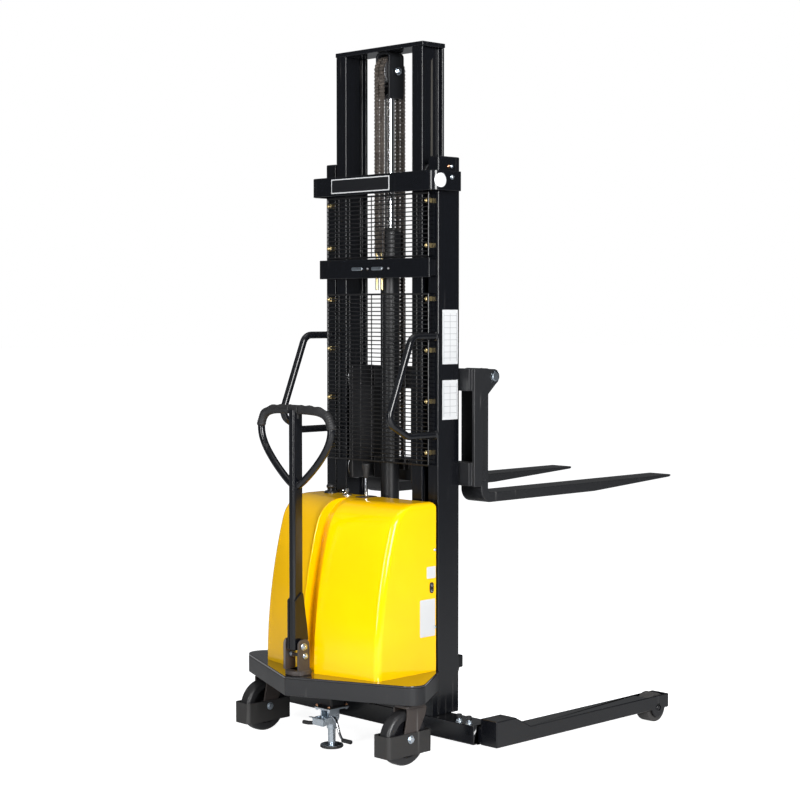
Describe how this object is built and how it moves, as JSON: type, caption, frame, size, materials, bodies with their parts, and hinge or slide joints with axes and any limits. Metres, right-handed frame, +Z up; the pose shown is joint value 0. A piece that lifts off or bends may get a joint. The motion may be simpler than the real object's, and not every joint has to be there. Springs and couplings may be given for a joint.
{
  "type": "walkie stacker",
  "caption": "Straddle-leg walkie stacker with a two-stage chain mast, lifting forks, yellow power cover, swivel casters and a pull handle.",
  "frame": {"origin": "centre of the bounding box on the floor plane", "axes": "+X the truck's right, +Y towards the fork tips, +Z up"},
  "size_m": [1.116, 1.708, 2.3945],
  "materials": {
    "black_gloss_paint": "glossy",
    "black_satin_paint": "satin",
    "charcoal_paint": "satin",
    "yellow_gloss": "glossy",
    "chrome_steel": "polished",
    "machined_steel": "satin",
    "zinc_plate": "zinc plated",
    "yellow_zinc": "passivated zinc",
    "chain_steel": "oiled",
    "wire_black": "satin",
    "white_plate": "matte",
    "black_rubber": "matte",
    "black_plastic": "matte",
    "wheel_nylon": "satin",
    "battery_case": "matte"
  },
  "bodies": {
    "chassis": {"cross_tube": "black_gloss_paint", "clamp_bolts": "yellow_zinc", "bulkhead": "black_gloss_paint", "outer_mast_left": "black_gloss_paint", "outer_mast_right": "black_gloss_paint", "top_strap": "black_gloss_paint", "mid_bar": "black_gloss_paint", "chain_studs": "zinc_plate", "guard_upper": "wire_black", "guard_lower": "wire_black", "guard_clips": "yellow_zinc", "grab_rail_left": "black_gloss_paint", "grab_rail_right": "black_gloss_paint", "name_plates": "white_plate", "cylinder_tube": "black_gloss_paint", "cylinder_gland": "black_satin_paint", "deck_plate": "black_gloss_paint", "deck_skirt": "black_satin_paint", "deck_rails": "black_satin_paint", "cover": "yellow_gloss", "pump_motor": "black_satin_paint", "oil_tank": "black_satin_paint", "battery": "battery_case", "pressure_pipe": "machined_steel", "panel_sockets": "black_plastic", "chain_front_runs": "chain_steel", "lock_body": "zinc_plate"},
    "inner_mast": {"inner_mast_left": "black_gloss_paint", "inner_mast_right": "black_gloss_paint", "inner_top_plate": "black_gloss_paint", "inner_tie": "black_gloss_paint", "piston_rod": "chrome_steel", "sheave_bracket": "black_satin_paint", "chain_wraps": "chain_steel"},
    "chain_sheaves": {"chain_sheaves": "machined_steel"},
    "mast_rollers_upper": {"mast_rollers_upper": "machined_steel"},
    "mast_rollers_lower": {"mast_rollers_lower": "machined_steel"},
    "carriage": {"carriage_frame": "black_satin_paint", "fork_shaft": "zinc_plate", "chain_rear_runs": "chain_steel"},
    "carriage_rollers_upper": {"carriage_rollers_upper": "machined_steel"},
    "carriage_rollers_lower": {"carriage_rollers_lower": "machined_steel"},
    "fork_left": {"fork_left": "black_satin_paint"},
    "fork_right": {"fork_right": "black_satin_paint"},
    "leg_left": {"leg_left": "black_gloss_paint"},
    "leg_right": {"leg_right": "black_gloss_paint"},
    "load_wheel_left": {"load_wheel_left": "wheel_nylon"},
    "load_wheel_right": {"load_wheel_right": "wheel_nylon"},
    "caster_left": {"caster_fork_left": "charcoal_paint"},
    "caster_right": {"caster_fork_right": "charcoal_paint"},
    "caster_wheel_left": {"caster_wheel_left": "wheel_nylon"},
    "caster_wheel_right": {"caster_wheel_right": "wheel_nylon"},
    "tiller_yoke": {"tiller_yoke": "charcoal_paint"},
    "tiller": {"tiller": "black_satin_paint", "tiller_grips": "black_rubber"},
    "valve_lever": {"valve_lever": "black_plastic"},
    "switch_key": {"switch_key": "chrome_steel"},
    "stop_button": {"stop_button": "black_plastic"},
    "lock_foot": {"lock_foot": "zinc_plate"},
    "lock_pedal": {"lock_pedal": "zinc_plate"}
  },
  "joints": [
    {"name": "mast_lift", "type": "slide", "parent": "chassis", "child": "inner_mast", "axis": [0, 0, 1], "range_m": [-0.3875, 1.0825], "deforming": ["chain_front_runs"]},
    {"name": "carriage_lift", "type": "slide", "parent": "inner_mast", "child": "carriage", "axis": [0, 0, 1], "range_m": [-0.3875, 1.0825], "deforming": ["chain_rear_runs"]},
    {"name": "sheave_spin", "type": "hinge", "parent": "inner_mast", "child": "chain_sheaves", "pos_m": [0, -0.366, 2.3135], "axis": [1, 0, 0], "continuous": true},
    {"name": "mast_roller_upper_spin", "type": "hinge", "parent": "chassis", "child": "mast_rollers_upper", "pos_m": [0, -0.3685, 1.9428], "axis": [1, 0, 0], "continuous": true},
    {"name": "mast_roller_lower_spin", "type": "hinge", "parent": "inner_mast", "child": "mast_rollers_lower", "pos_m": [0, -0.3595, 0.559], "axis": [1, 0, 0], "continuous": true},
    {"name": "carriage_roller_upper_spin", "type": "hinge", "parent": "carriage", "child": "carriage_rollers_upper", "pos_m": [0, -0.3685, 1.25], "axis": [1, 0, 0], "continuous": true},
    {"name": "carriage_roller_lower_spin", "type": "hinge", "parent": "carriage", "child": "carriage_rollers_lower", "pos_m": [0, -0.3685, 0.935], "axis": [1, 0, 0], "continuous": true},
    {"name": "fork_left_shift", "type": "slide", "parent": "carriage", "child": "fork_left", "axis": [1, 0, 0], "range_m": [-0.018, 0.15]},
    {"name": "fork_right_shift", "type": "slide", "parent": "carriage", "child": "fork_right", "axis": [1, 0, 0], "range_m": [-0.15, 0.018]},
    {"name": "leg_left_pull", "type": "slide", "parent": "chassis", "child": "leg_left", "axis": [-1, 0, 0], "range_m": [0, 0.09]},
    {"name": "leg_right_pull", "type": "slide", "parent": "chassis", "child": "leg_right", "axis": [1, 0, 0], "range_m": [0, 0.09]},
    {"name": "load_wheel_left_spin", "type": "hinge", "parent": "leg_left", "child": "load_wheel_left", "pos_m": [-0.5185, 0.449, 0.052], "axis": [1, 0, 0], "continuous": true},
    {"name": "load_wheel_right_spin", "type": "hinge", "parent": "leg_right", "child": "load_wheel_right", "pos_m": [0.5185, 0.449, 0.052], "axis": [1, 0, 0], "continuous": true},
    {"name": "caster_left_swivel", "type": "hinge", "parent": "chassis", "child": "caster_left", "pos_m": [-0.355, -0.611, 0.23], "axis": [0, 0, 1], "continuous": true},
    {"name": "caster_right_swivel", "type": "hinge", "parent": "chassis", "child": "caster_right", "pos_m": [0.355, -0.611, 0.23], "axis": [0, 0, 1], "continuous": true},
    {"name": "caster_wheel_left_spin", "type": "hinge", "parent": "caster_left", "child": "caster_wheel_left", "pos_m": [-0.355, -0.651, 0.09], "axis": [1, 0, 0], "continuous": true},
    {"name": "caster_wheel_right_spin", "type": "hinge", "parent": "caster_right", "child": "caster_wheel_right", "pos_m": [0.355, -0.651, 0.09], "axis": [1, 0, 0], "continuous": true},
    {"name": "tiller_swivel", "type": "hinge", "parent": "chassis", "child": "tiller_yoke", "pos_m": [0, -0.793, 0.27], "axis": [0, 0, 1], "range_deg": [-60, 60]},
    {"name": "tiller_tilt", "type": "hinge", "parent": "tiller_yoke", "child": "tiller", "pos_m": [0, -0.803, 0.367], "axis": [1, 0, 0], "range_deg": [0, 75], "stiffness_Nm_per_rad": 25, "springref_deg": -22.92},
    {"name": "valve_lever_tilt", "type": "hinge", "parent": "chassis", "child": "valve_lever", "pos_m": [0, -0.481, 0.8], "axis": [1, 0, 0], "range_deg": [-15, 15], "stiffness_Nm_per_rad": 3},
    {"name": "switch_key_turn", "type": "hinge", "parent": "chassis", "child": "switch_key", "pos_m": [-0.085, -0.491, 0.844], "axis": [0, 0, 1], "range_deg": [0, 90]},
    {"name": "stop_button_push", "type": "slide", "parent": "chassis", "child": "stop_button", "axis": [0, 0, -1], "range_m": [0, 0.006]},
    {"name": "lock_foot_drop", "type": "slide", "parent": "chassis", "child": "lock_foot", "axis": [0, 0, -1], "range_m": [0, 0.01]},
    {"name": "lock_pedal_press", "type": "hinge", "parent": "chassis", "child": "lock_pedal", "pos_m": [0.04, -0.703, 0.112], "axis": [1, 0, 0], "range_deg": [0, 25]}
  ],
  "couplings": [
    {"joint": "carriage_lift", "follows": "mast_lift", "ratio": 1},
    {"joint": "sheave_spin", "follows": "mast_lift", "rad_per_m": 20},
    {"joint": "mast_roller_upper_spin", "follows": "mast_lift", "rad_per_m": 23.148},
    {"joint": "mast_roller_lower_spin", "follows": "mast_lift", "rad_per_m": -24.272},
    {"joint": "carriage_roller_upper_spin", "follows": "mast_lift", "rad_per_m": -23.148},
    {"joint": "carriage_roller_lower_spin", "follows": "mast_lift", "rad_per_m": 23.148},
    {"joint": "lock_pedal_press", "follows": "lock_foot_drop", "rad_per_m": 43.194}
  ]
}
